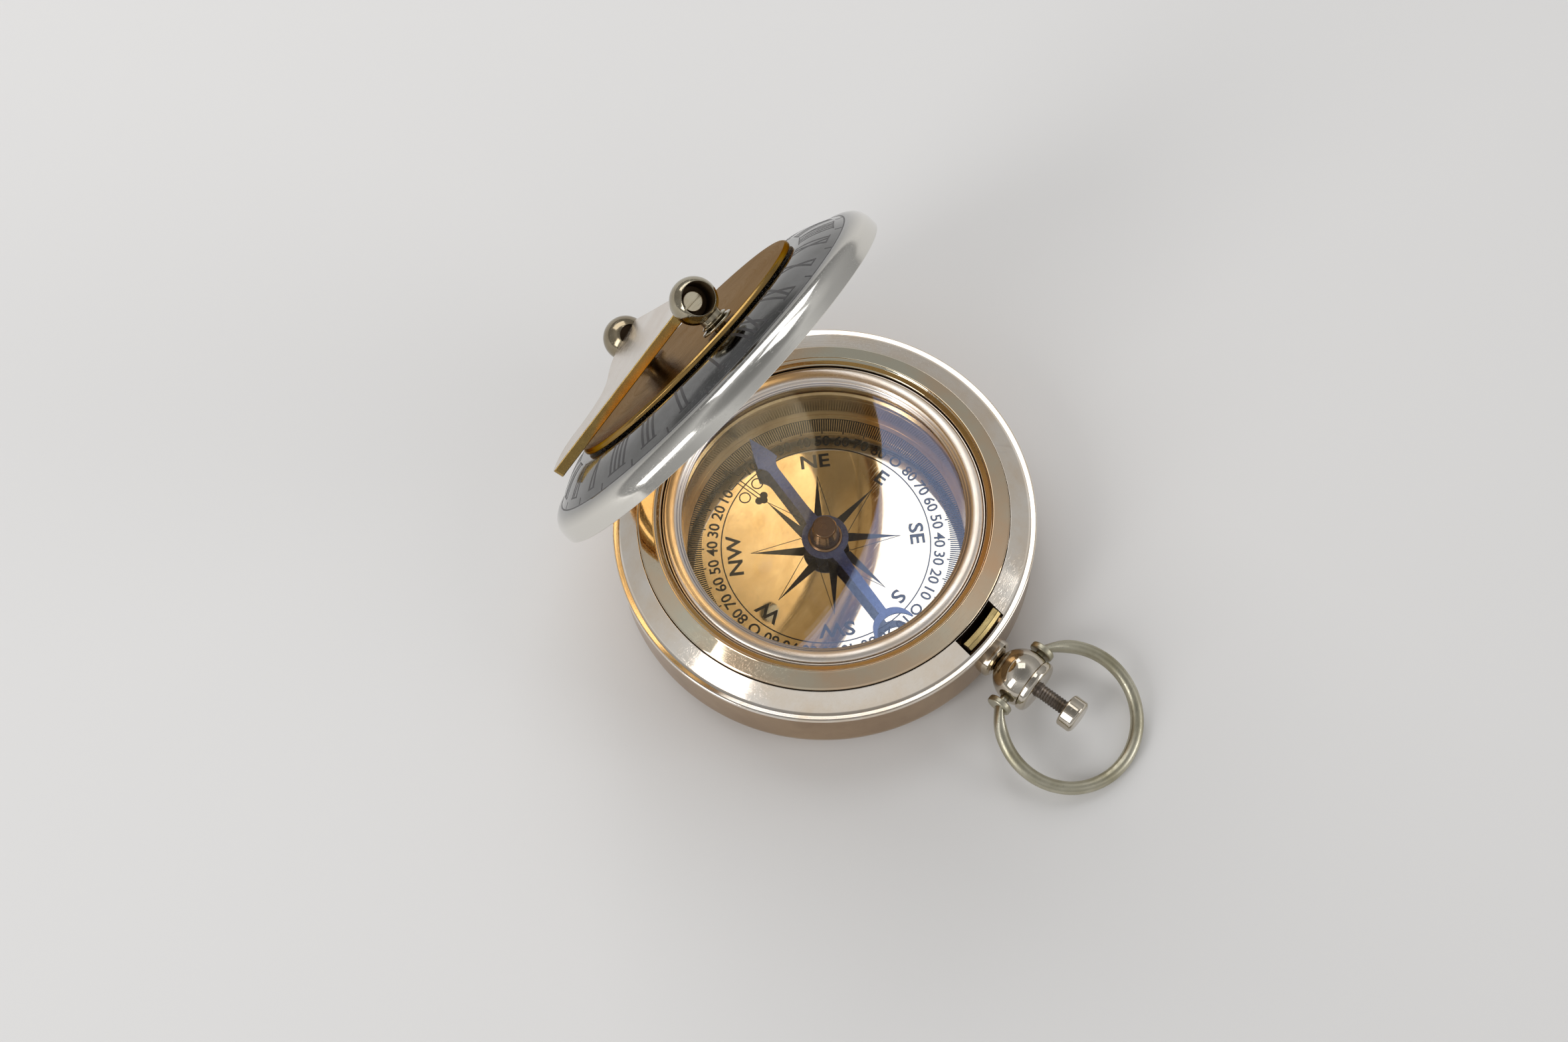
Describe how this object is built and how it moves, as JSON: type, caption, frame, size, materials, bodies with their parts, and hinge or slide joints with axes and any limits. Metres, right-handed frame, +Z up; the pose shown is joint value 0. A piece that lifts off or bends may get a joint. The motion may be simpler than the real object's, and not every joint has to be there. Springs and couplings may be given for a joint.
{
  "type": "sundial compass",
  "caption": "Pocket sundial compass in a turned brass case: sprung lid with hour plate and folding gnomon, glazed compass with needle, push button and swinging bow",
  "frame": {"origin": "centre of the case's flat bottom, which is the face that it rests on", "axes": "+Z up through the dial, +Y from the pendant toward the hinge, +X to the right along the hinge pin"},
  "size_m": [0.057, 0.0869, 0.0601],
  "materials": {
    "case_brass": "polished, pale",
    "dial_brass": "mirror polished, printed",
    "gold_brass": "turned, warm",
    "dull_brass": "satin, greyed",
    "blue_steel": "blued",
    "bronze": "bronzed",
    "dark_steel": "dark, oiled",
    "clear_glass": "clear"
  },
  "bodies": {
    "case_body": {"case_cup": "case_brass", "case_rim": "case_brass", "capsule_ring": "case_brass", "bezel": "case_brass", "glass": "clear_glass", "spacer_ring": "gold_brass", "dial_plate": "dial_brass", "pivot_post": "dark_steel", "case_knuckle_left": "case_brass", "case_knuckle_right": "case_brass", "hinge_pin": "dark_steel", "lid_spring": "dark_steel", "pendant_neck": "case_brass", "pendant_ball": "case_brass"},
    "needle_body": {"needle": "blue_steel", "needle_cap": "bronze"},
    "lid_body": {"lid_shell": "case_brass", "lid_knuckle": "case_brass", "hour_plate": "case_brass", "post_near": "dull_brass", "post_far": "dull_brass", "pivot_screw_near": "gold_brass", "pivot_screw_far": "gold_brass"},
    "gnomon_body": {"gnomon": "gold_brass"},
    "button_body": {"button_shaft": "dark_steel", "button_knob": "case_brass"},
    "latch_body": {"latch": "gold_brass", "lock_spring": "dark_steel"},
    "bow_body": {"bow": "dull_brass"}
  },
  "joints": [
    {"name": "needle_turn", "type": "hinge", "parent": "case_body", "child": "needle_body", "pos_m": [0, 0, 0.0055], "axis": [0, 0, 1], "continuous": true},
    {"name": "lid_hinge", "type": "hinge", "parent": "case_body", "child": "lid_body", "pos_m": [0, 0.0264, 0.0104], "axis": [1, 0, 0], "range_deg": [0, 62], "stiffness_Nm_per_rad": 0.012, "springref_deg": -34.38},
    {"name": "gnomon_fold", "type": "hinge", "parent": "lid_body", "child": "gnomon_body", "pos_m": [0, 0.02557, 0.03986], "axis": [0, 0.4695, -0.8829], "range_deg": [0, 201.8]},
    {"name": "button_press", "type": "slide", "parent": "case_body", "child": "button_body", "axis": [0, 1, 0], "range_m": [0, 0.0009], "stiffness_N_per_m": 400, "springref_m": -0.0025},
    {"name": "latch_slide", "type": "slide", "parent": "case_body", "child": "latch_body", "axis": [0, 1, 0], "range_m": [0, 0.0009]},
    {"name": "bow_swing", "type": "hinge", "parent": "case_body", "child": "bow_body", "pos_m": [0, -0.0332, 0.0058], "axis": [-1, 0, 0], "range_deg": [-104, 136]}
  ],
  "couplings": [
    {"joint": "latch_slide", "follows": "button_press", "ratio": 1}
  ]
}
